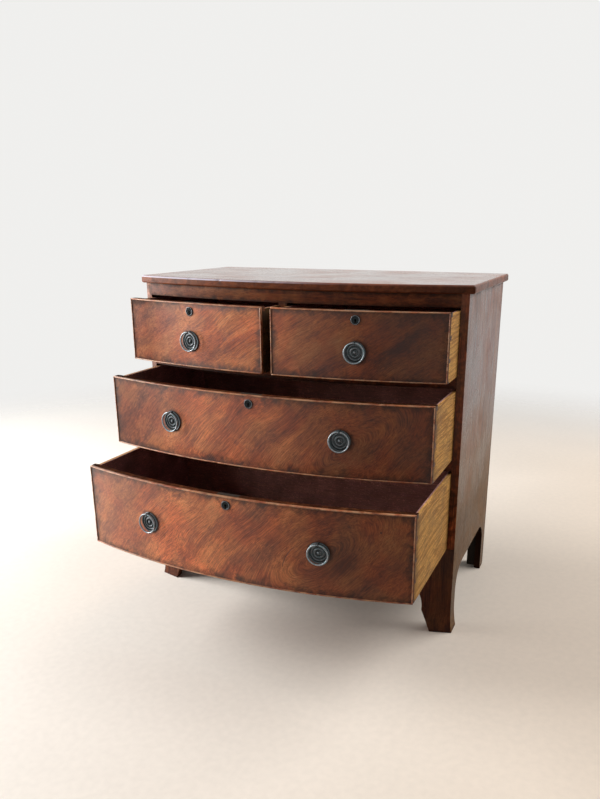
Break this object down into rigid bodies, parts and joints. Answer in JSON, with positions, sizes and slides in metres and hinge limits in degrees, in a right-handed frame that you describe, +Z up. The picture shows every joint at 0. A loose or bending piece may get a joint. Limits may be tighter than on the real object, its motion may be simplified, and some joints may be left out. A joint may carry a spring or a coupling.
{
  "type": "bow front chest of drawers",
  "caption": "Bow front chest with short drawers over long drawers, ring pulls, locks, dovetailed drawers and bracket feet; every drawer, ring and bolt moves.",
  "frame": {"origin": "On the floor, under the middle of the overall width and depth with the drawers as they stand open at rest.", "axes": "+X to the right seen from the front, +Y to the back, +Z up; the drawers open towards -Y."},
  "size_m": [0.916, 0.832, 0.9],
  "materials": {
    "mahogany": "old French polish, satin",
    "drawer_oak": "bare oak, aged",
    "carcase_pine": "bare softwood, darkened",
    "patinated_brass": "dark patina",
    "lock_iron": "dark iron"
  },
  "bodies": {
    "case": {"top": "mahogany", "side_left": "mahogany", "side_right": "mahogany", "frieze_rail": "mahogany", "rail_upper": "mahogany", "rail_middle": "mahogany", "rail_base": "mahogany", "drawer_divider": "mahogany", "runners_and_guides": "carcase_pine", "dust_boards": "carcase_pine", "drawer_stops": "carcase_pine", "back_boards": "carcase_pine", "apron": "mahogany", "foot_front_left": "mahogany", "foot_front_right": "mahogany", "bracket_rear_left": "carcase_pine", "bracket_rear_right": "carcase_pine", "glue_blocks": "carcase_pine"},
    "drawer_short_left": {"front_short_left": "mahogany", "cockbeads_short_left": "mahogany", "sides_short_left": "drawer_oak", "back_short_left": "drawer_oak", "bottom_short_left": "drawer_oak", "lock_short_left": "lock_iron", "escutcheon_short_left": "patinated_brass", "handle_plates_short_left": "patinated_brass"},
    "bolt_short_left": {"bolt_short_left": "lock_iron"},
    "ring_short_left": {"ring_short_left": "patinated_brass"},
    "drawer_short_right": {"front_short_right": "mahogany", "cockbeads_short_right": "mahogany", "sides_short_right": "drawer_oak", "back_short_right": "drawer_oak", "bottom_short_right": "drawer_oak", "lock_short_right": "lock_iron", "escutcheon_short_right": "patinated_brass", "handle_plates_short_right": "patinated_brass"},
    "bolt_short_right": {"bolt_short_right": "lock_iron"},
    "ring_short_right": {"ring_short_right": "patinated_brass"},
    "drawer_upper_long": {"front_upper_long": "mahogany", "cockbeads_upper_long": "mahogany", "sides_upper_long": "drawer_oak", "back_upper_long": "drawer_oak", "bottom_upper_long": "drawer_oak", "lock_upper_long": "lock_iron", "escutcheon_upper_long": "patinated_brass", "handle_plates_upper_long": "patinated_brass"},
    "bolt_upper_long": {"bolt_upper_long": "lock_iron"},
    "ring_upper_long_left": {"ring_upper_long_left": "patinated_brass"},
    "ring_upper_long_right": {"ring_upper_long_right": "patinated_brass"},
    "drawer_lower_long": {"front_lower_long": "mahogany", "cockbeads_lower_long": "mahogany", "sides_lower_long": "drawer_oak", "back_lower_long": "drawer_oak", "bottom_lower_long": "drawer_oak", "lock_lower_long": "lock_iron", "escutcheon_lower_long": "patinated_brass", "handle_plates_lower_long": "patinated_brass"},
    "bolt_lower_long": {"bolt_lower_long": "lock_iron"},
    "ring_lower_long_left": {"ring_lower_long_left": "patinated_brass"},
    "ring_lower_long_right": {"ring_lower_long_right": "patinated_brass"}
  },
  "joints": [
    {"name": "slide_short_left", "type": "slide", "parent": "case", "child": "drawer_short_left", "axis": [0, -1, 0], "range_m": [-0.094, 0.256]},
    {"name": "throw_bolt_short_left", "type": "slide", "parent": "drawer_short_left", "child": "bolt_short_left", "axis": [0, 0, 1], "range_m": [0, 0.009]},
    {"name": "swing_ring_short_left", "type": "hinge", "parent": "drawer_short_left", "child": "ring_short_left", "pos_m": [-0.22116, -0.19462, 0.77521], "axis": [-0.9904, 0.1384, 0], "range_deg": [-8, 180]},
    {"name": "slide_short_right", "type": "slide", "parent": "case", "child": "drawer_short_right", "axis": [0, -1, 0], "range_m": [-0.094, 0.256]},
    {"name": "throw_bolt_short_right", "type": "slide", "parent": "drawer_short_right", "child": "bolt_short_right", "axis": [0, 0, 1], "range_m": [0, 0.009]},
    {"name": "swing_ring_short_right", "type": "hinge", "parent": "drawer_short_right", "child": "ring_short_right", "pos_m": [0.22116, -0.19462, 0.77521], "axis": [-0.9904, -0.1384, 0], "range_deg": [-8, 180]},
    {"name": "slide_upper_long", "type": "slide", "parent": "case", "child": "drawer_upper_long", "axis": [0, -1, 0], "range_m": [-0.19, 0.16]},
    {"name": "throw_bolt_upper_long", "type": "slide", "parent": "drawer_upper_long", "child": "bolt_upper_long", "axis": [0, 0, 1], "range_m": [0, 0.009]},
    {"name": "swing_ring_upper_long_left", "type": "hinge", "parent": "drawer_upper_long", "child": "ring_upper_long_left", "pos_m": [-0.22368, -0.29027, 0.59091], "axis": [-0.9902, 0.14, 0], "range_deg": [-8, 180]},
    {"name": "swing_ring_upper_long_right", "type": "hinge", "parent": "drawer_upper_long", "child": "ring_upper_long_right", "pos_m": [0.22368, -0.29027, 0.59091], "axis": [-0.9902, -0.14, 0], "range_deg": [-8, 180]},
    {"name": "slide_lower_long", "type": "slide", "parent": "case", "child": "drawer_lower_long", "axis": [0, -1, 0], "range_m": [-0.31, 0.04]},
    {"name": "throw_bolt_lower_long", "type": "slide", "parent": "drawer_lower_long", "child": "bolt_lower_long", "axis": [0, 0, 1], "range_m": [0, 0.009]},
    {"name": "swing_ring_lower_long_left", "type": "hinge", "parent": "drawer_lower_long", "child": "ring_lower_long_left", "pos_m": [-0.22368, -0.41027, 0.36711], "axis": [-0.9902, 0.14, 0], "range_deg": [-8, 180]},
    {"name": "swing_ring_lower_long_right", "type": "hinge", "parent": "drawer_lower_long", "child": "ring_lower_long_right", "pos_m": [0.22368, -0.41027, 0.36711], "axis": [-0.9902, -0.14, 0], "range_deg": [-8, 180]}
  ]
}
